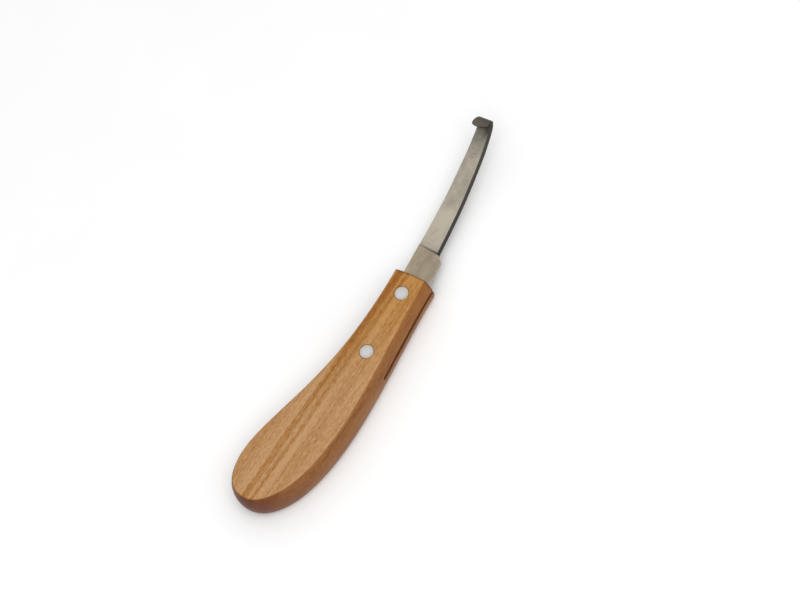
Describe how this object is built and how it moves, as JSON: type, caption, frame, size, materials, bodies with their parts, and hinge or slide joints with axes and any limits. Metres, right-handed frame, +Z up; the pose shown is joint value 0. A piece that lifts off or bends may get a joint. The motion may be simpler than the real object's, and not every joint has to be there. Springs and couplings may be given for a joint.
{
  "type": "hoof knife",
  "caption": "Right-handed hoof knife: bowed single-edged steel blade with a hooked tip, its tang riveted in the sawn kerf of a flat wooden handle with a swollen butt.",
  "frame": {"origin": "middle of the whole knife's box, on the surface that the handle's flat underside rests on", "axes": "+X along the knife towards the hooked tip, +Y towards the back of the blade, +Z up, the way the hook curls; the cutting edge is on the -Y side"},
  "size_m": [0.2076, 0.0416, 0.0254],
  "materials": {
    "handle_wood": "satin lacquer",
    "blade_steel": "ground satin",
    "rivet_metal": "satin"
  },
  "bodies": {
    "root": {"handle": "handle_wood", "blade": "blade_steel", "front_rivet_pin": "rivet_metal", "front_rivet_tube": "rivet_metal", "rear_rivet_pin": "rivet_metal", "rear_rivet_tube": "rivet_metal"}
  },
  "joints": []
}
